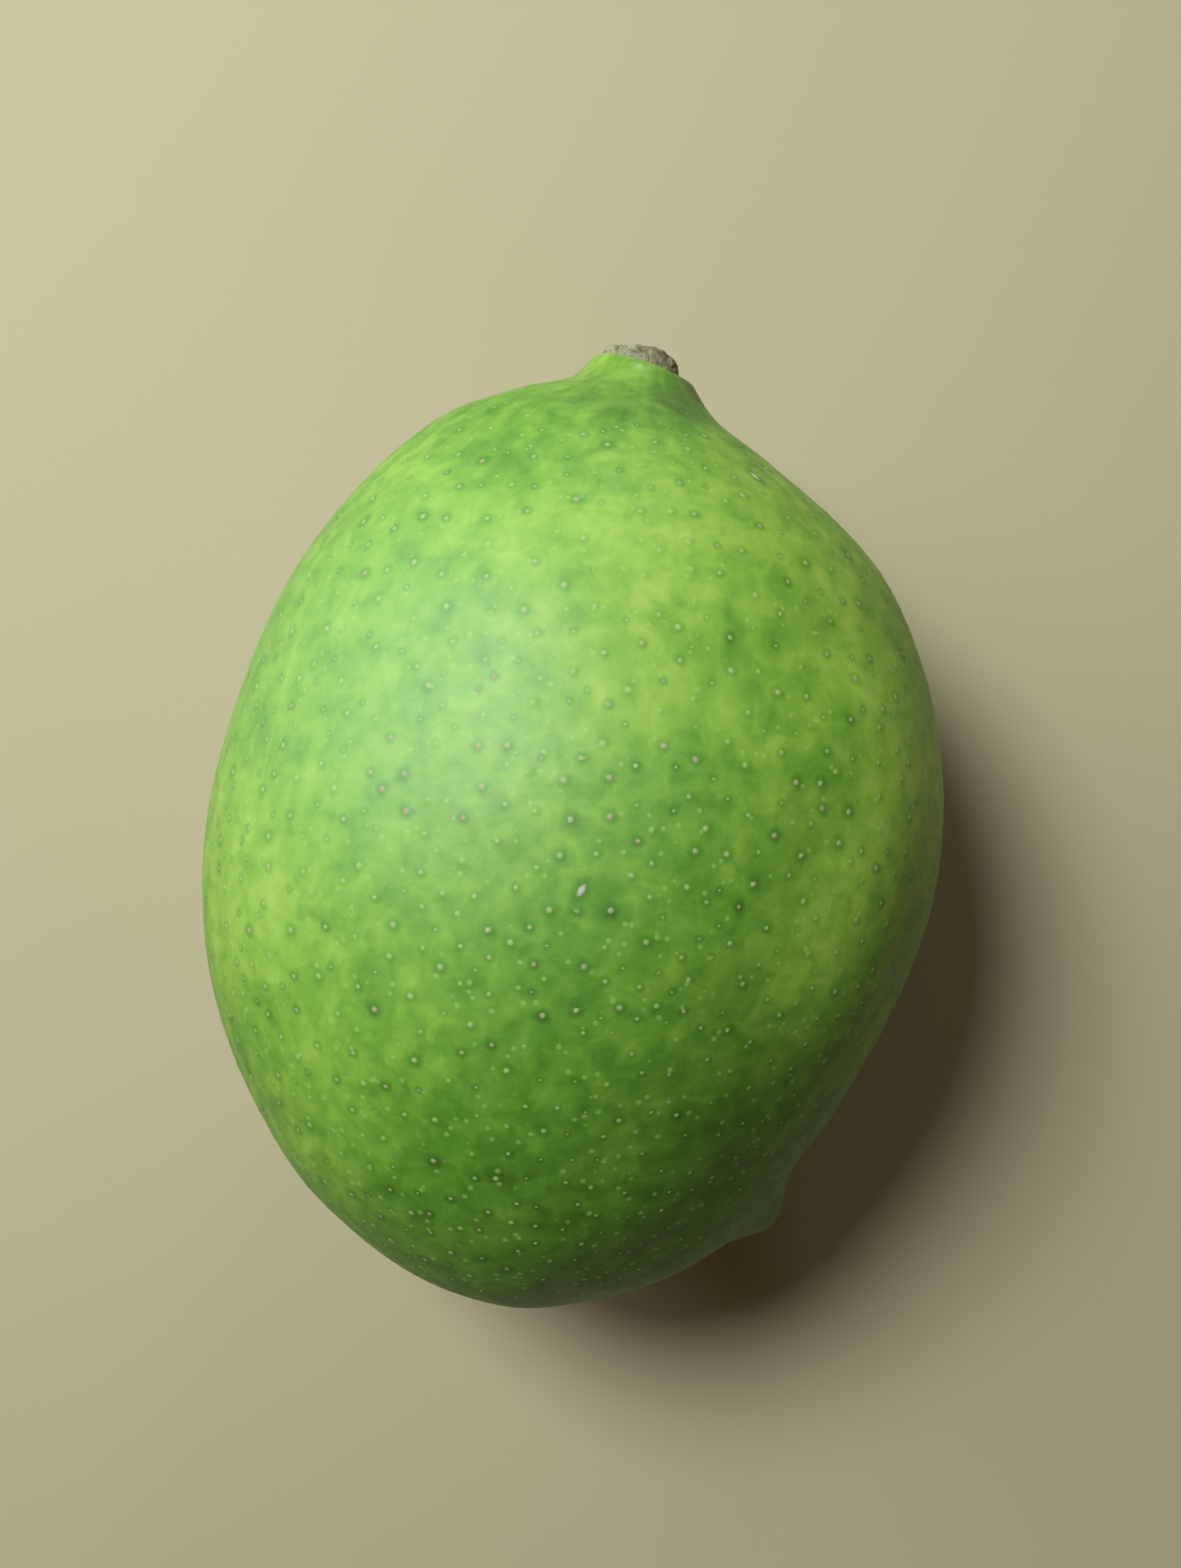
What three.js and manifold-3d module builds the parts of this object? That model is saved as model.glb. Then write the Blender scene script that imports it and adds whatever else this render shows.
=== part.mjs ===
// A fresh green mango lying on its broad side, with the corky end of its stalk
// still seated in the neck. Millimetres, +Z up, +Y towards the stalk.
// The origin is the centre of the small flat spot that the fruit rests on.

import * as THREE from 'three';
import { mergeVertices } from 'three/addons/utils/BufferGeometryUtils.js';
import Module from 'manifold-3d';

// ---- driving dimensions ----------------------------------------------------

// Cross sections from the stalk to the tip of the fruit. Each one stands on a
// chord from its left point to its right point in the fruit's middle plane, and
// roundness is its thickness over that chord.
const SECTIONS = [
  { left: [3.8, 57.8], right: [14.3, 55.2], roundness: 1.0 }, // rim of the neck
  { left: [0.3, 54.0], right: [15.9, 52.0], roundness: 1.0 }, // foot of the neck
  { left: [-7.6, 52.1], right: [18.2, 48.4], roundness: 0.97 },
  { left: [-17.6, 47.2], right: [24.2, 43.5], roundness: 0.96 }, // shoulders
  { left: [-31.1, 32.4], right: [37.5, 30.0], roundness: 0.92 },
  { left: [-40.1, 11.0], right: [43.8, 10.5], roundness: 0.89 }, // fullest part
  { left: [-42.5, -5.0], right: [43.4, -4.6], roundness: 0.88 },
  { left: [-40.5, -20.5], right: [38.4, -19.7], roundness: 0.875 },
  { left: [-33.5, -36.3], right: [28.4, -35.8], roundness: 0.87 },
  { left: [-26.6, -44.5], right: [23.0, -43.7], roundness: 0.865 },
  { left: [-17.0, -51.4], right: [14.2, -50.9], roundness: 0.86 },
];
const TIP = [-1.6, -55.6];
const TIP_ROUNDNESS = 0.86;

const BEAK_CENTRE = [23.4, -43.8]; // the small nose beside the tip
const BEAK_DIRECTION = [0.6, -0.8];
const BEAK_HEIGHT = 3.7;
const BEAK_SPREAD = 3.0;

const REST_SPOT_DEPTH = 0.45; // how much of the round belly the flat spot takes off
const LIP_WIDTH = 0.7; // ring of green flesh round the stalk
const SOCKET_DEPTH = 1.2;
const STUB_GAP = 0.3; // clearance between the stalk and its socket
const STUB_STAND = 1.1; // how far the stalk stands out of the neck
const STUB_EDGE = 0.5; // worn edge of the broken stalk
const STUB_DISH = 0.35; // dip in the middle of the broken stalk

const RINGS_PER_SECTION = 6;
const POINTS_PER_RING = 64;
const STUB_SIDES = 32;

const SKIN_GREEN = 0x7eb14b;
const CORK_BROWN = 0x8a7a62;

// ---- the outline and its cross sections ------------------------------------

// One smooth curve runs down the left side, round the tip and up the right side.
// Its third coordinate carries the roundness.
function outlineCurve() {
  const leftSide = SECTIONS.map((s) => new THREE.Vector3(...s.left, s.roundness));
  const rightSide = SECTIONS.map((s) => new THREE.Vector3(...s.right, s.roundness));
  const tip = new THREE.Vector3(...TIP, TIP_ROUNDNESS);
  return new THREE.CatmullRomCurve3([...leftSide, tip, ...rightSide.reverse()], false, 'centripetal');
}

// The middle, half width, half thickness and sideways direction of the section
// at a place from 0, the rim of the neck, to 1, the tip.
function sectionAt(outline, place) {
  const left = outline.getPoint(place / 2);
  const right = outline.getPoint(1 - place / 2);
  const roundness = (left.z + right.z) / 2;
  left.z = 0;
  right.z = 0;
  const middle = left.clone().add(right).multiplyScalar(0.5);
  const halfWidth = left.distanceTo(right) / 2;
  const sideways = right.clone().sub(left).normalize();
  return { middle, halfWidth, halfThickness: halfWidth * roundness, sideways };
}

function ringOfPoints(section, scale = 1) {
  const points = [];
  for (let i = 0; i < POINTS_PER_RING; i += 1) {
    const angle = (2 * Math.PI * i) / POINTS_PER_RING;
    const across = section.halfWidth * scale * Math.cos(angle);
    const up = section.halfThickness * scale * Math.sin(angle);
    points.push(section.middle.clone().addScaledVector(section.sideways, across).setZ(up));
  }
  return points;
}

// The beak is a soft local swelling of the finished skin.
function swellBeak(point) {
  const centre = new THREE.Vector3(...BEAK_CENTRE, 0);
  const direction = new THREE.Vector3(...BEAK_DIRECTION, 0).normalize();
  const nearness = Math.exp(-point.distanceToSquared(centre) / (2 * BEAK_SPREAD ** 2));
  return point.addScaledVector(direction, BEAK_HEIGHT * nearness);
}

// ---- meshes ----------------------------------------------------------------

// Closes a stack of rings into one skin, with a single point at each end.
function skinOver(rings, firstPoint, lastPoint) {
  const positions = [firstPoint, ...rings.flat(), lastPoint].flatMap((p) => p.toArray());
  const lastIndex = rings.length * POINTS_PER_RING + 1;
  const index = [];
  for (let i = 0; i < POINTS_PER_RING; i += 1) {
    const next = (i + 1) % POINTS_PER_RING;
    index.push(0, 1 + next, 1 + i);
    for (let ring = 0; ring < rings.length - 1; ring += 1) {
      const near = 1 + ring * POINTS_PER_RING;
      const far = near + POINTS_PER_RING;
      index.push(near + i, near + next, far + i);
      index.push(far + i, near + next, far + next);
    }
    const end = lastIndex - POINTS_PER_RING;
    index.push(end + i, end + next, lastIndex);
  }
  const geometry = new THREE.BufferGeometry();
  geometry.setAttribute('position', new THREE.Float32BufferAttribute(positions, 3));
  geometry.setIndex(index);
  return geometry;
}

function toSolid(wasm, geometry) {
  const bare = geometry.clone();
  bare.deleteAttribute('normal');
  bare.deleteAttribute('uv');
  const merged = mergeVertices(bare, 1e-5);
  return new wasm.Manifold(new wasm.Mesh({
    numProp: 3,
    vertProperties: new Float32Array(merged.attributes.position.array),
    triVerts: new Uint32Array(merged.index.array),
  }));
}

function toGeometry(solid) {
  const mesh = solid.getMesh();
  const geometry = new THREE.BufferGeometry();
  geometry.setAttribute('position', new THREE.BufferAttribute(new Float32Array(mesh.vertProperties), 3));
  geometry.setIndex(new THREE.BufferAttribute(new Uint32Array(mesh.triVerts), 1));
  geometry.computeVertexNormals();
  return geometry;
}

// The whole fruit about its middle plane: the socket for the stalk, the lip
// round it, the neck, the body and the tip.
function fruitSkin(outline) {
  const rim = sectionAt(outline, 0);
  const outwards = new THREE.Vector3(-rim.sideways.y, rim.sideways.x, 0);
  const socketScale = 1 - LIP_WIDTH / rim.halfWidth;
  const socketMouth = ringOfPoints(rim, socketScale);
  const socketFloor = socketMouth.map((p) => p.clone().addScaledVector(outwards, -SOCKET_DEPTH));
  const floorMiddle = rim.middle.clone().addScaledVector(outwards, -SOCKET_DEPTH);

  const rings = [socketFloor, socketMouth];
  const steps = SECTIONS.length * RINGS_PER_SECTION;
  for (let step = 0; step < steps; step += 1) {
    rings.push(ringOfPoints(sectionAt(outline, step / steps)).map(swellBeak));
  }
  return skinOver(rings, floorMiddle, new THREE.Vector3(...TIP, 0));
}

// Lifts the fruit so that the rest spot lies at z = 0, and cuts the spot flat.
function cutRestSpot(wasm, geometry, restHeight) {
  const lifted = geometry.clone().translate(0, 0, restHeight);
  const slabSide = 200;
  const slab = new THREE.BoxGeometry(slabSide, slabSide, slabSide).translate(0, 0, -slabSide / 2);
  return toGeometry(toSolid(wasm, lifted).subtract(toSolid(wasm, slab)));
}

// The end of the stalk: a short woody disc, dished where it broke off.
function stubGeometry(radius) {
  const foot = STUB_GAP - SOCKET_DEPTH;
  const profile = [
    [0, foot],
    [radius, foot],
    [radius, STUB_STAND - STUB_EDGE],
    [radius - STUB_EDGE, STUB_STAND],
    [radius / 2, STUB_STAND - STUB_DISH / 2],
    [0, STUB_STAND - STUB_DISH],
  ];
  return new THREE.LatheGeometry(profile.map((p) => new THREE.Vector2(...p)), STUB_SIDES);
}

// ---- assembly --------------------------------------------------------------

const wasm = await Module();
wasm.setup();

const outline = outlineCurve();
const wholeSkin = fruitSkin(outline);
wholeSkin.computeBoundingBox();
const middleHeight = wholeSkin.boundingBox.max.z - REST_SPOT_DEPTH;

const fruit = new THREE.Mesh(
  cutRestSpot(wasm, wholeSkin, middleHeight),
  new THREE.MeshStandardMaterial({ color: SKIN_GREEN, roughness: 0.4, metalness: 0 }),
);
fruit.name = 'fruit';

const rim = sectionAt(outline, 0);
const stub = new THREE.Mesh(
  stubGeometry(rim.halfWidth - LIP_WIDTH - STUB_GAP),
  new THREE.MeshStandardMaterial({ color: CORK_BROWN, roughness: 0.9, metalness: 0 }),
);
stub.name = 'stem_stub';
stub.position.set(rim.middle.x, rim.middle.y, middleHeight);
stub.rotation.z = Math.atan2(rim.sideways.y, rim.sideways.x);

const mango = new THREE.Group();
mango.name = 'mango';
mango.add(fruit, stub);

export default mango;
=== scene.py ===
import math
import random

import bpy
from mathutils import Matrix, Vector
from mathutils.kdtree import KDTree


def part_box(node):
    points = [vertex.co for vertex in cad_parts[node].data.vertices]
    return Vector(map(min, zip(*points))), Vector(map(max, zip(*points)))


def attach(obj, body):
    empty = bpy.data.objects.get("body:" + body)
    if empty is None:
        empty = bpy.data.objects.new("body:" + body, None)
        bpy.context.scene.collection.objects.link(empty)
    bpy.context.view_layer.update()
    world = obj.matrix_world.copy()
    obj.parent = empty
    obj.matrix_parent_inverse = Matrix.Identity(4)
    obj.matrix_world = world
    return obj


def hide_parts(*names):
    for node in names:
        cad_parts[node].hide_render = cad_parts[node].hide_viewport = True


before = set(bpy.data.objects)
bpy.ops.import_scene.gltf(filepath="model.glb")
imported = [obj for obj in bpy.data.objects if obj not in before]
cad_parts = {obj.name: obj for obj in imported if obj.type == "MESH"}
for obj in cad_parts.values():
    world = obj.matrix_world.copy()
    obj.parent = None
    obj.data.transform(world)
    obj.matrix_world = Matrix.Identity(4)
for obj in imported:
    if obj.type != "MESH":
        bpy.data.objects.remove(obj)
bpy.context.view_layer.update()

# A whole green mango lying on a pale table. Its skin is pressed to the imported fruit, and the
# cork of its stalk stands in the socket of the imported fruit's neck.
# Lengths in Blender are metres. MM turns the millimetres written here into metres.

MM = 0.001

# ---- sizes and places, from the frame ------------------------------------------------

STUB_LOW, STUB_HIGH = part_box("stem_stub")
MIDDLE_HEIGHT = (STUB_LOW.z + STUB_HIGH.z) / 2

# The stalk's axis leans a little towards +X from +Y.
NECK_LEAN = math.radians(13.9)
NECK_AXIS = Vector((math.sin(NECK_LEAN), math.cos(NECK_LEAN), 0))
STALK_PLACE = Vector((9.05 * MM, 56.5 * MM, MIDDLE_HEIGHT))

# The lip of the neck, a little below where the stalk broke off, and turned a little more.
LIP_LEAN = math.radians(17.4)
LIP_AXIS = Vector((math.sin(LIP_LEAN), math.cos(LIP_LEAN), 0))
LIP_CENTRE = STALK_PLACE - NECK_AXIS * 1.2 * MM
SOCKET_RADIUS = 4.9 * MM
SOCKET_DEPTH = 1.2 * MM

# The camera looks straight down. Its height is from the middle of the fruit, and its lens
# and sensor are in millimetres.
CAMERA_HEIGHT = 200 * MM
CAMERA_AIM = (2.95 * MM, 6.24 * MM)
CAMERA_LENS = 38.6
CAMERA_SENSOR = 36


# ---- working by hand -----------------------------------------------------------------

def alone(piece):
    """Makes the piece the only one selected, and the active one."""
    bpy.ops.object.select_all(action="DESELECT")
    piece.select_set(True)
    bpy.context.view_layer.objects.active = piece


def edit(piece):
    """Opens the piece in edit mode with nothing selected."""
    alone(piece)
    bpy.ops.object.mode_set(mode="EDIT")
    bpy.ops.mesh.select_all(action="DESELECT")


def done():
    """Leaves edit mode."""
    bpy.ops.object.mode_set(mode="OBJECT")


def pick(piece, kind, wanted):
    """Selects the vertices or polygons for which wanted is true, in edit mode."""
    bpy.ops.mesh.select_mode(type="VERT" if kind == "vertices" else "FACE")
    bpy.ops.mesh.select_all(action="DESELECT")
    done()
    for item in getattr(piece.data, kind):
        item.select = wanted(item)
    bpy.ops.object.mode_set(mode="EDIT")


def modify(piece, kind, **settings):
    """Adds a modifier, sets it and applies it."""
    alone(piece)
    modifier = piece.modifiers.new(kind.title(), kind)
    for name, value in settings.items():
        setattr(modifier, name, value)
    bpy.ops.object.modifier_apply(modifier=modifier.name)


# ---- the skin's shape ----------------------------------------------------------------

def fruit_mould():
    """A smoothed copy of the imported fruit, for the skin to be pressed against."""
    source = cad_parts["fruit"]
    mould = source.copy()
    mould.data = source.data.copy()
    mould.parent = None
    bpy.context.scene.collection.objects.link(mould)
    edit(mould)
    bpy.ops.mesh.select_all(action="SELECT")
    bpy.ops.mesh.remove_doubles(threshold=0.002 * MM)
    bpy.ops.mesh.tris_convert_to_quads()
    done()
    modify(mould, "SUBSURF", levels=2, render_levels=2)
    return mould


# The ball that the skin starts from: its faces round and along the fruit, its half sizes,
# its middle and its lean, and how far from the lip's axis its end is opened for the neck.
AROUND = 144
ALONG = 96
BODY_HALF = Vector((42.5, 55.5, 37.6)) * MM
BODY_CENTRE = Vector((1.5 * MM, -0.5 * MM, MIDDLE_HEIGHT))
BODY_LEAN = math.radians(5.4)
CAP_RADIUS = 9.3 * MM

# How far from the lip's axis the neck is drawn by hand, and how far it is blended in.
DRAWN_REACH = 1.2 * CAP_RADIUS
NECK_REACH = 2 * CAP_RADIUS

# The neck, from its foot over the lip to the floor of the socket: millimetres
# along the lip's axis from the lip, and radius in millimetres.
NECK_STEPS = [
    (-2.9, 8.9), (-2.3, 7.7), (-1.7, 6.95), (-1.15, 6.4), (-0.7, 6.05), (-0.35, 5.85),
    (-0.1, 5.7), (0.04, 5.5), (0.08, 5.3), (0.0, 5.08), (-0.3, 4.95), (-1.2, 4.9),
    (-1.2, 3.6), (-1.2, 2.3), (-1.2, 1.1),
]
# How far down its outside the lip keeps the shape of these steps.
LIP_ROLL = 0.6 * MM


def off_axis(place):
    """How far a place is from the lip's axis."""
    return (place - LIP_CENTRE).cross(LIP_AXIS).length


def beyond(place, reach):
    """True for a place further than this from the lip's axis, or in the tip's half."""
    return off_axis(place) > reach or place.y < 0


def draw_ring(piece, axis, centre, radius):
    """Draws the selected face out and sets its edge on a true circle round the axis."""
    bpy.ops.mesh.extrude_region_move()
    done()
    ring = [vertex for vertex in piece.data.vertices if vertex.select]
    middle = sum((vertex.co for vertex in ring), Vector()) / len(ring)
    for vertex in ring:
        spoke = vertex.co - middle
        spoke -= axis * spoke.dot(axis)
        vertex.co = centre + spoke.normalized() * radius
    bpy.ops.object.mode_set(mode="EDIT")


def rough_skin():
    """A long ball with a neck drawn out of its stalk end and a socket sunk in the neck."""
    bpy.ops.mesh.primitive_uv_sphere_add(segments=AROUND, ring_count=ALONG, radius=1)
    skin = bpy.context.object
    skin.name = "mango_skin"
    skin.rotation_euler = (-math.pi / 2, 0, -BODY_LEAN)
    bpy.ops.object.transform_apply(location=False, rotation=True, scale=False)
    skin.scale = BODY_HALF
    skin.location = BODY_CENTRE
    bpy.ops.object.transform_apply()
    edit(skin)
    pick(skin, "polygons", lambda face: face.center.y > 0 and off_axis(face.center) < CAP_RADIUS)
    bpy.ops.mesh.dissolve_faces()
    # out of edit mode and back, which numbers the vertices alike on every run
    done()
    bpy.ops.object.mode_set(mode="EDIT")
    for height, radius in NECK_STEPS:
        draw_ring(skin, LIP_AXIS, LIP_CENTRE + LIP_AXIS * height * MM, radius * MM)
    bpy.ops.mesh.poke()
    done()
    return skin


def group_vertices(piece, name, wanted):
    """Puts the vertices at wanted places in a group, for a modifier to work on."""
    members = [vertex.index for vertex in piece.data.vertices if wanted(vertex.co)]
    piece.vertex_groups.new(name=name).add(members, 1.0, "REPLACE")


def is_body(place):
    """True everywhere but on the lip and in the socket."""
    below = -(place - LIP_CENTRE).dot(LIP_AXIS)
    outside = off_axis(place) > 1.1 * SOCKET_RADIUS
    return below > 2 * SOCKET_DEPTH or (outside and below > LIP_ROLL)


# Soft ridges and hollows in the flesh: height and half width in millimetres, and the line
# each one follows, seen from above. The underside has the same ones.
FLESH_LINES = [
    (1.2, 6.5, [(33, 13), (34.5, 3), (32.5, -8), (29, -19), (26, -31)]),
    (-0.9, 5.5, [(25.5, -25), (19, -38), (12, -45), (2, -51)]),
]


def distance_to_line(here, line):
    """From a point to the nearest place on a line of points, all flat and in millimetres."""
    nearest = math.inf
    for start, end in zip(line, line[1:]):
        start, end = Vector(start), Vector(end)
        run = end - start
        share = min(max((here - start).dot(run) / run.length_squared, 0), 1)
        nearest = min(nearest, (here - start - run * share).length)
    return nearest


def flesh_relief(place):
    """How far the ridges and hollows stand out at this place, in millimetres."""
    here = Vector((place.x / MM, place.y / MM))
    return sum(height * math.exp(-(distance_to_line(here, line) / width) ** 2)
               for height, width, line in FLESH_LINES)


# The soft unevenness of the flesh: how wide a swell is, and how high.
SWELL_SIZE = 17 * MM
SWELL_HEIGHT = 0.5 * MM


def press_skin(skin):
    """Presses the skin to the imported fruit, then gives it its ridges and a soft swell."""
    mould = fruit_mould()
    group_vertices(skin, "flanks", lambda place: beyond(place, DRAWN_REACH))
    modify(skin, "SHRINKWRAP", target=mould, vertex_group="flanks", wrap_method="PROJECT",
           use_negative_direction=True, use_positive_direction=True)
    group_vertices(skin, "body", is_body)
    modify(skin, "SHRINKWRAP", target=mould, vertex_group="body",
           wrap_method="NEAREST_SURFACEPOINT")
    bpy.data.objects.remove(mould)
    group_vertices(skin, "flesh", lambda place: beyond(place, NECK_REACH))
    outward = [vertex.normal.copy() for vertex in skin.data.vertices]
    for vertex, normal in zip(skin.data.vertices, outward):
        if off_axis(vertex.co) > NECK_REACH:
            vertex.co += normal * flesh_relief(vertex.co) * MM
    clouds = bpy.data.textures.new("swell", "CLOUDS")
    clouds.noise_scale = SWELL_SIZE
    modify(skin, "DISPLACE", texture=clouds, texture_coords="LOCAL", strength=SWELL_HEIGHT,
           mid_level=0.5, vertex_group="flesh")
    modify(skin, "SMOOTH", iterations=2, factor=0.5, vertex_group="flesh")
    group_vertices(skin, "neck_foot",
                   lambda place: is_body(place) and off_axis(place) < NECK_REACH)
    modify(skin, "SMOOTH", iterations=6, factor=0.5, vertex_group="neck_foot")
    skin.vertex_groups.clear()


skin = rough_skin()
press_skin(skin)

# Lenticels, the pores of the skin: how many millimetres a pore's edge is from its middle,
# how wide its rim is, how proud it stands, and the gap to the next of its kind at the
# stalk end and at the tip. The smallest lie flush and have no rim.
PORE_KINDS = [
    {"edge": 0.42, "rim": 0.15, "stand": 0.07, "stalk_gap": 8.0, "tip_gap": 7.0},
    {"edge": 0.32, "rim": 0.12, "stand": 0.05, "stalk_gap": 5.2, "tip_gap": 3.6},
    {"edge": 0.24, "stalk_gap": 4.2, "tip_gap": 2.2},
]
# The tip, where the tip's gap holds, how far from it the stalk's gap does, and where the
# pores end.
PORE_TIP = -55 * MM
PORE_RUN = 110 * MM
PORE_END = 45 * MM
# A gap varies by these factors. A pore needs mesh edges this many times as long as its own
# edge is far from its middle, the room round it that no other pore enters, and it strays
# this far from the mesh's own rows.
GAP_FACTORS = (0.45, 1.15)
PORE_CLEAR = 2.1
PORE_ROOM = 2.4 * MM
PORE_DRIFT = 0.45 * MM
PORE_SEED = 7
# The most striking pores of the upper side, in millimetres seen from above.
STRIKING_PORES = [
    (13.2, -0.3), (14.1, 1.9), (23.5, 6.4), (25.9, 6.3), (29, 3.4), (23.8, -0.9), (18.9, -3.6),
    (30.1, 17), (8.4, -9.2), (1.5, -15.8), (-16.4, -7.6), (-27.6, -8.7), (-30.3, 0.8),
    (-18.7, -16.3), (-3.6, 23.5), (-5.1, 10), (-7.9, 10), (-15.2, 3.6), (4.8, 6.9), (10.1, 10),
    (-15.3, 7.2), (-7, -7.9), (4.8, 3.1), (1, 2.8), (-14.8, -14.7), (18.2, -13.8), (5.8, -27.6),
    (1.8, -5.8),
]
# Healed scars: place and the way each one runs, seen from above.
SCARS = [((2.1, -4.0), (0.57, 0.82)), ((20.7, 39.2), (0.62, -0.78))]
# How much longer a scar is drawn than the pore it grew from, and how far that reaches.
SCAR_STRETCH = 1.4
SCAR_REACH = 1.3 * MM
# How old a pore looks, from 0, pale green, through tan. A scar is 1.
ANY_AGE = (0.0, 0.9)
STRIKING_AGE = (0.55, 0.9)
SCAR_AGE = 1.0


def shortest_edges(skin):
    """The shortest edge at each vertex."""
    shortest = [1.0] * len(skin.data.vertices)
    for edge in skin.data.edges:
        first, second = edge.vertices
        length = (skin.data.vertices[first].co - skin.data.vertices[second].co).length
        shortest[first] = min(shortest[first], length)
        shortest[second] = min(shortest[second], length)
    return shortest


def within_surface(move, outward):
    """A move without the part of it that would leave the surface."""
    return move - outward * outward.dot(move)


def scatter_pores(skin):
    """Picks spaced vertices for each kind of pore. Gives, for each kind, places with ages."""
    draw = random.Random(PORE_SEED)
    vertices = skin.data.vertices
    tree = KDTree(len(vertices))
    for vertex in vertices:
        tree.insert(vertex.co, vertex.index)
    tree.balance()
    shortest = shortest_edges(skin)
    outward = [vertex.normal.copy() for vertex in vertices]
    taken = [not beyond(vertex.co, DRAWN_REACH) for vertex in vertices]
    kinds = []
    known = {}
    marks = [(place, SCAR_AGE) for place, _ in SCARS]
    marks += [(place, draw.uniform(*STRIKING_AGE)) for place in STRIKING_PORES]
    for place, age in marks:
        spot = Vector(place) * MM
        index = min((vertex.index for vertex in vertices if vertex.co.z > MIDDLE_HEIGHT),
                    key=lambda number: (vertices[number].co.xy - spot).length)
        drift = (spot - vertices[index].co.xy).to_3d()
        vertices[index].co += within_surface(drift, outward[index])
        known[tuple(vertices[index].co)] = age
        for _, near, _ in tree.find_range(vertices[index].co, PORE_ROOM):
            taken[near] = True
    for kind in PORE_KINDS:
        crowded = list(taken)
        order = list(range(len(vertices)))
        draw.shuffle(order)
        places = dict(known) if kind is PORE_KINDS[0] else {}
        for index in order:
            # drawn for every vertex, so that a pore more or less leaves the others alone
            factor = draw.uniform(*GAP_FACTORS)
            drift = Vector([draw.uniform(-1, 1) for _ in range(3)]) * PORE_DRIFT
            age = draw.uniform(*ANY_AGE)
            place = vertices[index].co
            if taken[index] or crowded[index] or place.y > PORE_END:
                continue
            if shortest[index] < PORE_CLEAR * kind["edge"] * MM:
                continue
            share = (place.y - PORE_TIP) / PORE_RUN
            gap = kind["tip_gap"] + (kind["stalk_gap"] - kind["tip_gap"]) * share
            for _, near, _ in tree.find_range(place, gap * factor * MM):
                crowded[near] = True
            for _, near, _ in tree.find_range(place, PORE_ROOM):
                taken[near] = True
            vertices[index].co = place + within_surface(drift, outward[index])
            places[tuple(vertices[index].co)] = age
        kinds.append(places)
    return kinds


def raise_pores(skin, kinds):
    """Cuts each pore out of the skin and raises it inside its rim."""
    edit(skin)
    for kind, places in zip(PORE_KINDS, kinds):
        pick(skin, "vertices", lambda vertex: tuple(vertex.co) in places)
        bpy.ops.mesh.bevel(offset=kind["edge"] * MM, affect="VERTICES", clamp_overlap=False)
        if "rim" in kind:
            bpy.ops.mesh.select_mode(type="FACE")
            bpy.ops.mesh.inset(thickness=kind["rim"] * MM, depth=kind["stand"] * MM,
                               use_individual=True)
    done()


pore_kinds = scatter_pores(skin)
raise_pores(skin, pore_kinds)
modify(skin, "SUBSURF", levels=1, render_levels=1, use_limit_surface=False)
# The table presses flat what hangs below it.
for vertex in skin.data.vertices:
    vertex.co.z = max(vertex.co.z, 0)


# ---- what the skin's colours follow --------------------------------------------------

# Soft patches of riper or greener skin, and of painted light and shade, seen from above:
# middle and radius in millimetres, and how much riper than the rest, or for a painted patch how
# much lighter.
RIPE_AND_SHADING_PATCHES = [
    (6, 26, 11, 0.13), (15, 31, 8, 0.14), (26, 30, 9, 0.10), (30, 19, 9, 0.12), (33, 2, 8, 0.12),
    (-14, 25, 16, 0.06), (-25, 13, 14, 0.10), (14, 19, 9, 0.18), (0, 2, 9, -0.04),
    (-34, -6, 13, 0.12), (-26, -26, 12, 0.06), (-4, -18, 12, 0.04), (27, -10, 6, 0.20),
    (-7, -46, 14, -0.12), (12, -42, 12, -0.20), (5, 43, 6, -0.05), (20, -29, 8, -0.16),
    (-5, 38, 3, -0.10), (6, 37, 3, -0.08), (12, -20, 7, 0.05), (-8, 44, 8, -0.18),
    (0, 35, 5, 0.06),
    # painted light and shade: (40, 10) and (38, 2) are lighter for light thrown up from the table
    # onto the right rim, and (13, 50) and (14, 48) are darker for the shade on the neck's right
    # side
    (40, 10, 7, 0.15), (13, 50, 4, -0.22), (5, 46, 5, -0.10), (-6, 3, 8, 0.14), (4, 13, 7, 0.10),
    (-7, 36, 7, 0.10), (38, 2, 7, 0.15), (-29, -9, 9, 0.10), (-17, -8, 8, 0.08),
    (-29, -32, 8, 0.12), (17, 24, 9, -0.22), (14, 48, 4, -0.25), (4, 48, 6, -0.06),
    (4, -19, 8, -0.08), (-7, -30, 8, -0.08), (-41, 2, 9, 0.12),
]
# Ripeness halfway along the fruit, and what it gains with each millimetre to the stalk.
RIPE_MIDDLE = 0.5
RIPE_SLOPE = 0.002
# The whitish bloom, partly a painted sheen of the light, and the dark sap stain, partly
# painted shade on the neck's right side, in millimetres.
BLOOM_AND_SHEEN_PLACE = Vector((-18, 16))
BLOOM_AND_SHEEN_RADIUS = 24
STAIN_AND_SHADE_PLACE = Vector((14.9, 52.3, 41.0))
STAIN_AND_SHADE_RADIUS = 3.2
# Where the pores stay small and green: the place, and how much smaller and younger.
QUIET_PLACE = Vector((26, -36))
QUIET_RADIUS = 22
QUIET_SMALLER = 0.4
QUIET_YOUNGER = 0.6
# Millimetres from the lip: how far the neck's gloss reaches, and where the streaks are
# strongest and how far on either side they fade.
GLOSS_REACH = 8.5
STREAK_PLACE = 19
STREAK_REACH = 11
# How many millimetres along the fruit the tip's finer specks take to fade in.
TIP_RUN = 70
# The grain runs down from the stalk. It is laid out on a ring of this radius, in
# millimetres, and drawn out along the fruit by taking only this share of the way down.
GRAIN_RADIUS = 22
GRAIN_STRETCH = 0.22
SKIN_MARKS = ("pore_gap", "pore_age", "ripeness_and_shading", "bloom_and_sheen", "stain_and_shade", "neck", "stalk", "tip")


def soft(distance, radius):
    """1 in the middle, falling softly to nothing at about twice the radius."""
    return math.exp(-(distance / radius) ** 2)


def write_attribute(piece, name, kind, values):
    """Writes one value, or one vector, for every vertex."""
    layer = piece.data.attributes.new(name, kind, "POINT")
    layer.data.foreach_set("vector" if kind == "FLOAT_VECTOR" else "value", values)


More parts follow.
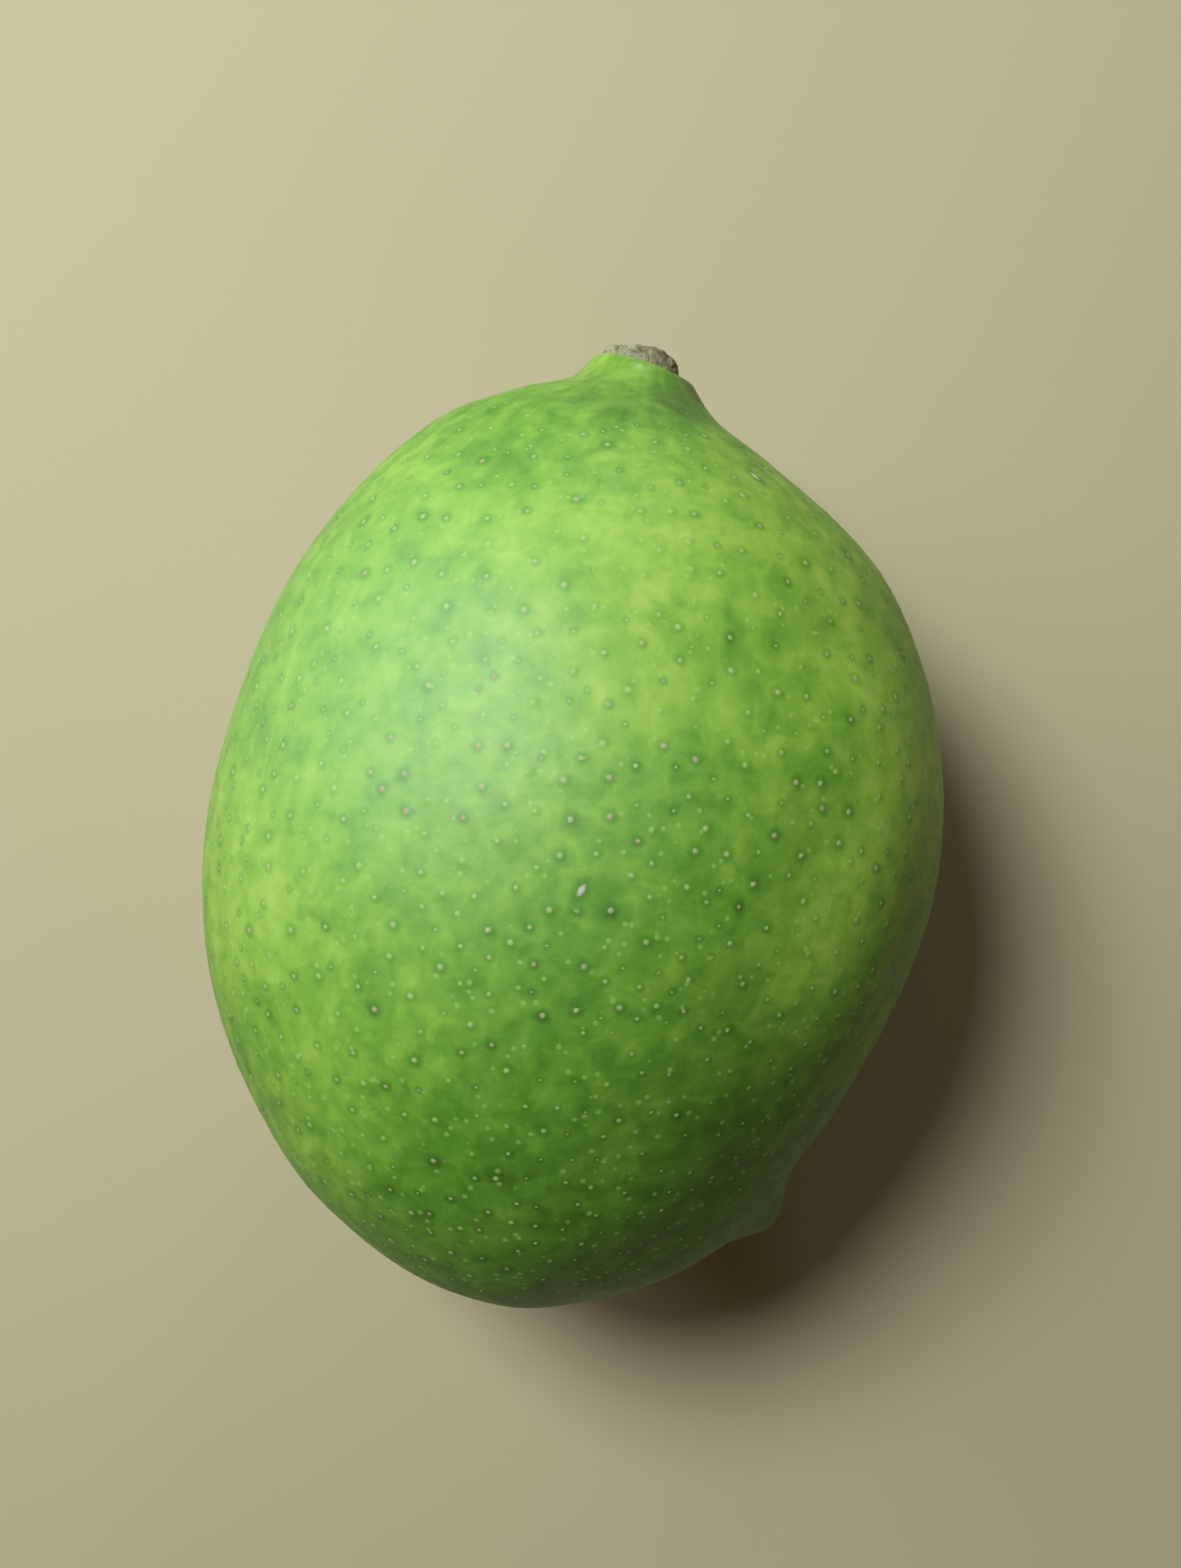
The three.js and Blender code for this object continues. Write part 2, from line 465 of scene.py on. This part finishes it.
def mark_skin(skin, kinds):
    """Writes the attributes that the skin's material reads."""
    pores = [(place, kind["edge"], age) for kind, places in zip(PORE_KINDS, kinds)
             for place, age in places.items()]
    tree = KDTree(len(pores))
    for number, (place, _, _) in enumerate(pores):
        tree.insert(place, number)
    tree.balance()
    marks = {name: [] for name in SKIN_MARKS}
    grain = []
    for vertex in skin.data.vertices:
        _, number, distance = tree.find(vertex.co)
        _, edge, age = pores[number]
        here = vertex.co / MM
        flat = here.xy
        quiet = soft((flat - QUIET_PLACE).length, QUIET_RADIUS)
        marks["pore_gap"].append(distance / MM / edge * (1 + QUIET_SMALLER * quiet))
        marks["pore_age"].append(age * (1 - QUIET_YOUNGER * quiet))
        ripe_and_shading = RIPE_MIDDLE + RIPE_SLOPE * here.y
        for x, y, radius, amount in RIPE_AND_SHADING_PATCHES:
            ripe_and_shading += amount * soft((flat - Vector((x, y))).length, radius)
        marks["ripeness_and_shading"].append(ripe_and_shading)
        marks["bloom_and_sheen"].append(soft((flat - BLOOM_AND_SHEEN_PLACE).length, BLOOM_AND_SHEEN_RADIUS))
        marks["stain_and_shade"].append(soft((here - STAIN_AND_SHADE_PLACE).length, STAIN_AND_SHADE_RADIUS))
        spoke = vertex.co - LIP_CENTRE
        reach = spoke.length / MM
        spoke -= LIP_AXIS * spoke.dot(LIP_AXIS)
        spoke.normalize()
        grain.extend((spoke.x * GRAIN_RADIUS, spoke.z * GRAIN_RADIUS, reach * GRAIN_STRETCH))
        marks["neck"].append(soft(reach, GLOSS_REACH))
        marks["stalk"].append(soft(reach - STREAK_PLACE, STREAK_REACH))
        marks["tip"].append(min(max(0.5 - here.y / TIP_RUN, 0), 1))
    for name, values in marks.items():
        write_attribute(skin, name, "FLOAT", values)
    write_attribute(skin, "grain", "FLOAT_VECTOR", grain)


def stretch_scars(skin):
    """Draws each scar out along its way, within the surface."""
    for spot, way in SCARS:
        spot = Vector(spot) * MM
        near = [(vertex, vertex.normal.copy()) for vertex in skin.data.vertices
                if vertex.co.z > MIDDLE_HEIGHT and (vertex.co.xy - spot).length < 3 * SCAR_REACH]
        for vertex, normal in near:
            gap = vertex.co.xy - spot
            along = within_surface(Vector((*way, 0)), normal)
            pull = gap.dot(Vector(way)) * SCAR_STRETCH
            vertex.co += along * pull * soft(gap.length, SCAR_REACH)


mark_skin(skin, pore_kinds)
stretch_scars(skin)
alone(skin)
bpy.ops.object.shade_smooth()
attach(skin, "root")
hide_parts("fruit")


# ---- the cork of the stalk -----------------------------------------------------------

# From the socket floor up: millimetres along the stalk's axis from where it broke off,
# and radius in millimetres.
CORK_STEPS = [
    (-1.6, 4.62), (-1.1, 4.72), (-0.7, 4.7), (-0.3, 4.6), (0.1, 4.4), (0.45, 4.2), (0.75, 3.95),
    (0.95, 3.6), (0.9, 3.1), (0.7, 2.5), (0.6, 1.8), (0.62, 1.0),
]
CORK_FOOT = -2.25
# What crumbles its top: the size of the lumps and their height, in millimetres.
CORK_CRUMBLES = [(2.4, 0.75), (0.9, 0.3), (0.35, 0.12)]


def stalk_cork():
    """The dry plug left where the stalk broke away, ragged on top."""
    bpy.ops.mesh.primitive_cylinder_add(vertices=40, radius=4.5 * MM, depth=0.3 * MM)
    cork = bpy.context.object
    cork.name = "stalk_cork"
    cork.rotation_euler = NECK_AXIS.to_track_quat("Z", "Y").to_euler()
    cork.location = STALK_PLACE + NECK_AXIS * CORK_FOOT * MM
    bpy.ops.object.transform_apply()
    edit(cork)
    pick(cork, "polygons", lambda face: face.normal.dot(NECK_AXIS) > 0.9)
    for height, radius in CORK_STEPS:
        draw_ring(cork, NECK_AXIS, STALK_PLACE + NECK_AXIS * height * MM, radius * MM)
    bpy.ops.mesh.poke()
    done()
    modify(cork, "SUBSURF", levels=2, render_levels=2, use_limit_surface=False)
    lip = (LIP_CENTRE - STALK_PLACE).dot(NECK_AXIS) - 0.2 * MM
    group_vertices(cork, "broken", lambda place: (place - STALK_PLACE).dot(NECK_AXIS) > lip)
    for size, height in CORK_CRUMBLES:
        crumble = bpy.data.textures.new("crumble", "CLOUDS")
        crumble.noise_scale = size * MM
        modify(cork, "DISPLACE", texture=crumble, texture_coords="LOCAL", strength=height * MM,
               mid_level=0.5, vertex_group="broken")
    return cork


cork = stalk_cork()
alone(cork)
bpy.ops.object.shade_smooth()
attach(cork, "root")
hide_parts("stem_stub")


# ---- materials -----------------------------------------------------------------------

def colour(code):
    """An sRGB hex code as a linear colour."""
    parts = [int(code[start:start + 2], 16) / 255 for start in (1, 3, 5)]
    return (*[p / 12.92 if p <= 0.04045 else ((p + 0.055) / 1.055) ** 2.4 for p in parts], 1)


def new_material(name):
    """A material with only its surface shader and output. Gives it and its shader."""
    material = bpy.data.materials.new(name)
    material.use_nodes = True
    return material, material.node_tree.nodes["Principled BSDF"]


def add(material, kind, inputs=None, **settings):
    """Adds a node. An input given another node's output is linked to it."""
    tree = material.node_tree
    made = tree.nodes.new("ShaderNode" + kind)
    for name, value in settings.items():
        setattr(made, name, value)
    for name, value in (inputs or {}).items():
        if isinstance(value, bpy.types.NodeSocket):
            tree.links.new(value, made.inputs[name])
        else:
            made.inputs[name].default_value = value
    return made


def ramp(node, stops):
    """Sets the stops of a colour ramp: place and hex code."""
    stops_in = node.color_ramp.elements
    while len(stops_in) < len(stops):
        stops_in.new(0.5)
    for stop, (place, code) in zip(stops_in, stops):
        stop.position = place
        stop.color = colour(code)


# The skin's patterns, each about as wide as the real one. The streaks' width is in the
# millimetres of their own grain. The pebbling is really about 0.3 mm, too fine to show, so
# it is drawn twice as coarse.
CLOUD_SIZE = 9 * MM
MOTTLE_SIZE = 3 * MM
STREAK_SIZE = 2.6
SPECK_ROOM = 1.7 * MM
PEBBLE_SIZE = 0.6 * MM
PEBBLE_HEIGHT = 0.03 * MM


def green_mango_skin():
    """Waxy skin of an unripe mango: a satin, clouded green with corky pores in dark rings."""
    material, shader = new_material("green_mango_skin")
    place = add(material, "TexCoord").outputs["Object"]
    read = {name: add(material, "Attribute", attribute_name=name).outputs["Fac"]
            for name in SKIN_MARKS}
    grain = add(material, "Attribute", attribute_name="grain").outputs["Vector"]

    # how ripe the green is, with the painted light and shade of some patches: clouds, mottles,
    # and streaks that run down from the stalk
    clouds = add(material, "TexNoise", {"Vector": place, "Scale": 1 / CLOUD_SIZE, "Detail": 3.0,
                                        "Roughness": 0.6}).outputs["Fac"]
    mottles = add(material, "TexNoise", {"Vector": place, "Scale": 1 / MOTTLE_SIZE,
                                         "Detail": 3.0, "Roughness": 0.55,
                                         "Distortion": 0.4}).outputs["Fac"]
    streaks = add(material, "TexNoise", {"Vector": grain, "Scale": 1 / STREAK_SIZE,
                                         "Detail": 3.0, "Roughness": 0.6}).outputs["Fac"]
    streak_share = add(material, "MapRange", {"Value": read["stalk"], "To Min": 0.3,
                                              "To Max": 0.6}).outputs[0]
    ripe_and_shading = read["ripeness_and_shading"]
    for pattern, amount in ((clouds, 0.45), (mottles, 0.70), (streaks, streak_share)):
        level = add(material, "Math", {0: pattern, 1: -0.5}, operation="ADD").outputs[0]
        ripe_and_shading = add(material, "Math", {0: level, 1: amount, 2: ripe_and_shading},
                   operation="MULTIPLY_ADD").outputs[0]

    # the greener ring round each pore, deeper round an old one
    ring = add(material, "MapRange", {"Value": read["pore_gap"], "From Min": 0.9,
                                      "From Max": 3.2, "To Min": 1.0, "To Max": 0.0},
               interpolation_type="SMOOTHSTEP").outputs[0]
    ring_depth = add(material, "MapRange", {"Value": read["pore_age"], "To Min": -0.02,
                                            "To Max": -0.27}).outputs[0]
    ripe_and_shading = add(material, "Math", {0: ring, 1: ring_depth, 2: ripe_and_shading},
               operation="MULTIPLY_ADD").outputs[0]
    greens = add(material, "ValToRGB", {"Fac": ripe_and_shading})
    ramp(greens, [(0.1, "#407219"), (0.34, "#568F28"), (0.5, "#6BA134"), (0.68, "#84B540"),
                  (0.98, "#A8CB5A")])
    surface = greens.outputs["Color"]

    # a thin whitish bloom on the upper left shoulder, with a painted sheen of the light on it
    wax_and_sheen = add(material, "Math", {0: read["bloom_and_sheen"], 1: 0.35}, operation="MULTIPLY").outputs[0]
    surface = add(material, "MixRGB", {"Fac": wax_and_sheen, "Color1": surface,
                                       "Color2": colour("#86BC84")}).outputs["Color"]

    # the finest pores, one in every few square millimetres and more at the tip
    specks = add(material, "TexVoronoi", {"Vector": place,
                                          "Scale": 1 / SPECK_ROOM}).outputs["Distance"]
    speck_size = add(material, "MapRange", {"Value": read["tip"], "To Min": 0.15,
                                            "To Max": 0.25}).outputs[0]
    speck_mask = add(material, "MapRange", {"Value": specks, "From Min": 0.1,
                                            "From Max": speck_size, "To Min": 0.65,
                                            "To Max": 0.0},
                     interpolation_type="SMOOTHSTEP").outputs[0]
    off_neck = add(material, "MapRange", {"Value": read["neck"], "From Min": 0.15, "From Max": 0.4,
                                          "To Min": 1.0, "To Max": 0.0}).outputs[0]
    speck_mask = add(material, "Math", {0: speck_mask, 1: off_neck},
                     operation="MULTIPLY").outputs[0]
    surface = add(material, "MixRGB", {"Fac": speck_mask, "Color1": surface,
                                       "Color2": colour("#94C465")}).outputs["Color"]

    # the corky middles of the larger pores, from pale green to tan, and grey on a scar
    corks = add(material, "ValToRGB", {"Fac": read["pore_age"]})
    ramp(corks, [(0.0, "#8CBB5A"), (0.45, "#9CC078"), (0.7, "#A3B680"), (0.9, "#A89F80"),
                 (1.0, "#C0C9C0")])
    cork_mask = add(material, "MapRange", {"Value": read["pore_gap"], "From Min": 0.4,
                                           "From Max": 1.0, "To Min": 1.0, "To Max": 0.0},
                    interpolation_type="SMOOTHSTEP").outputs[0]
    surface = add(material, "MixRGB", {"Fac": cork_mask, "Color1": surface,
                                       "Color2": corks.outputs["Color"]}).outputs["Color"]

    # a dark brown patch beside the stalk on the neck's right side: partly sap stain, partly
    # painted shade
    stain_and_shade = add(material, "Math", {0: read["stain_and_shade"], 1: mottles}, operation="MULTIPLY").outputs[0]
    stain_and_shade = add(material, "MapRange", {"Value": stain_and_shade, "From Min": 0.15, "From Max": 0.5,
                                       "To Min": 0.0, "To Max": 0.85}).outputs[0]
    surface = add(material, "MixRGB", {"Fac": stain_and_shade, "Color1": surface,
                                       "Color2": colour("#3D4015")}).outputs["Color"]
    material.node_tree.links.new(surface, shader.inputs["Base Color"])

    # satin all over, glossier on the neck and duller on the cork of the pores
    gloss = add(material, "MapRange", {"Value": clouds, "From Min": 0.3, "From Max": 0.7,
                                       "To Min": 0.48, "To Max": 0.58}).outputs[0]
    gloss = add(material, "Math", {0: read["neck"], 1: -0.42, 2: gloss},
                operation="MULTIPLY_ADD").outputs[0]
    gloss = add(material, "Math", {0: cork_mask, 1: 0.2, 2: gloss},
                operation="MULTIPLY_ADD").outputs[0]
    material.node_tree.links.new(gloss, shader.inputs["Roughness"])

    # the skin's own fine pebbling, with the specks standing a hair proud of it
    pebbles = add(material, "TexNoise", {"Vector": place, "Scale": 1 / PEBBLE_SIZE,
                                         "Detail": 2.0, "Roughness": 0.5}).outputs["Fac"]
    height = add(material, "Math", {0: speck_mask, 1: 0.8, 2: pebbles},
                 operation="MULTIPLY_ADD").outputs[0]
    bump = add(material, "Bump", {"Height": height, "Strength": 0.6, "Distance": PEBBLE_HEIGHT})
    material.node_tree.links.new(bump.outputs["Normal"], shader.inputs["Normal"])
    shader.inputs["IOR"].default_value = 1.45
    return material


FIBRE_SIZE = 0.5 * MM
CRUST_SIZE = 1.4 * MM
CRUST_HEIGHT = 0.15 * MM


def weathered_stalk_cork():
    """Dry cork of a broken stalk: dead matt, grey where it weathered, brown in its cracks."""
    material, shader = new_material("weathered_stalk_cork")
    place = add(material, "TexCoord").outputs["Object"]
    turned = add(material, "Mapping", {"Vector": place, "Rotation": (0, 0, NECK_LEAN),
                                       "Scale": (1, 0.3, 1)}).outputs["Vector"]
    # fibres that run along the stalk, and the crusts that weathering left on them
    fibres = add(material, "TexNoise", {"Vector": turned, "Scale": 1 / FIBRE_SIZE,
                                        "Detail": 3.0, "Roughness": 0.6}).outputs["Fac"]
    crusts = add(material, "TexNoise", {"Vector": place, "Scale": 1 / CRUST_SIZE,
                                        "Detail": 3.0, "Roughness": 0.65}).outputs["Fac"]
    both = add(material, "Math", {0: fibres, 1: crusts}, operation="ADD").outputs[0]
    mean = add(material, "Math", {0: both, 1: 0.5}, operation="MULTIPLY").outputs[0]
    tones = add(material, "ValToRGB", {"Fac": mean})
    ramp(tones, [(0.36, "#524E37"), (0.46, "#7A7A5E"), (0.54, "#929577"), (0.64, "#A9AD90")])
    material.node_tree.links.new(tones.outputs["Color"], shader.inputs["Base Color"])
    bump = add(material, "Bump", {"Height": both, "Strength": 0.8, "Distance": CRUST_HEIGHT})
    material.node_tree.links.new(bump.outputs["Normal"], shader.inputs["Normal"])
    shader.inputs["Roughness"].default_value = 0.9
    return material


skin.data.materials.append(green_mango_skin())
cork.data.materials.append(weathered_stalk_cork())

# ---- floor, light and camera ---------------------------------------------------------

bpy.ops.mesh.primitive_plane_add(size=4, location=(0, 0, 0))
floor = bpy.context.object
floor.name = "floor"
floor_paint, floor_shader = new_material("floor_paint")
floor_shader.inputs["Base Color"].default_value = colour("#B5B190")
floor_shader.inputs["Roughness"].default_value = 0.8
floor.data.materials.append(floor_paint)

LIGHT_AIM = Vector((0, 0, 30)) * MM
LIGHT_DISTANCE = 650 * MM


def soft_light(name, turn, height, size, power):
    """A round soft light, turned from -X towards +Y and raised, both in degrees."""
    turn = math.radians(turn)
    height = math.radians(height)
    lamp = bpy.data.lights.new(name, "AREA")
    lamp.shape = "DISK"
    lamp.size = size
    lamp.energy = power
    holder = bpy.data.objects.new(name, lamp)
    bpy.context.scene.collection.objects.link(holder)
    flat = math.cos(height)
    reach = Vector((-flat * math.cos(turn), flat * math.sin(turn), math.sin(height)))
    holder.location = LIGHT_AIM + reach * LIGHT_DISTANCE
    holder.rotation_euler = reach.to_track_quat("Z", "Y").to_euler()


soft_light("window", turn=46, height=58, size=0.24, power=3.8)
soft_light("sky", turn=34, height=36, size=0.42, power=1.35)
soft_light("back_window", turn=100, height=11, size=0.09, power=0.6)

# faint warm light from all round
world = bpy.data.worlds.new("studio")
world.use_nodes = True
fill = world.node_tree.nodes["Background"]
fill.inputs["Color"].default_value = colour("#FFD7A2")
fill.inputs["Strength"].default_value = 0.077
bpy.context.scene.world = world
bpy.context.scene.view_settings.view_transform = "Standard"

camera_data = bpy.data.cameras.new("camera")
camera_data.lens = CAMERA_LENS
camera_data.sensor_width = CAMERA_SENSOR
camera = bpy.data.objects.new("camera", camera_data)
bpy.context.scene.collection.objects.link(camera)
camera.location = (*CAMERA_AIM, MIDDLE_HEIGHT + CAMERA_HEIGHT)
bpy.context.scene.camera = camera
